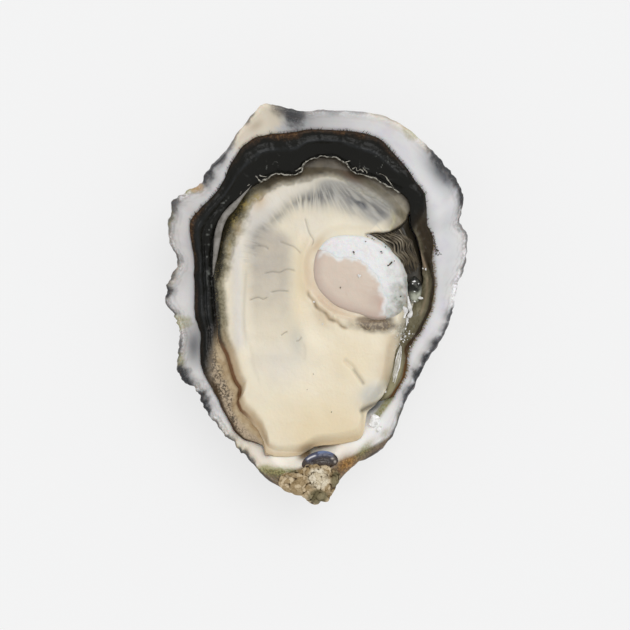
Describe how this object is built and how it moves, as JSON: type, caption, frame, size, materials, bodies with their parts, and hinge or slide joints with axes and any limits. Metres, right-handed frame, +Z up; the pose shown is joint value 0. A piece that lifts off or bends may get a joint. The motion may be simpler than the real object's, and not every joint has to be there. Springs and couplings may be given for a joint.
{
  "type": "oyster on the half shell",
  "caption": "Raw oyster served in its cupped lower shell: frilled shell, dark mantle edge, cream body, cut muscle, gills and hinge.",
  "frame": {"origin": "on the surface it rests on, below the middle of the shell's box", "axes": "+Z up, beak and hinge towards -Y, the frilled far edge towards +Y, +X on the side of the cut muscle"},
  "size_m": [0.0675, 0.0893, 0.0225],
  "materials": {
    "shell": "chalky and layered outside, porcelain gloss inside",
    "mantle": "wet, black with brown rim",
    "body": "wet, translucent cream",
    "gills": "wet, pleated olive grey",
    "quick_muscle": "wet, pink beige, translucent",
    "catch_muscle": "wet, opaque white",
    "ligament": "glossy, dark with blue sheen"
  },
  "bodies": {
    "root": {"shell": "shell", "mantle_edge": "mantle", "body": "body", "gills": "gills", "quick_muscle": "quick_muscle", "catch_muscle": "catch_muscle", "hinge_ligament": "ligament"}
  },
  "joints": []
}
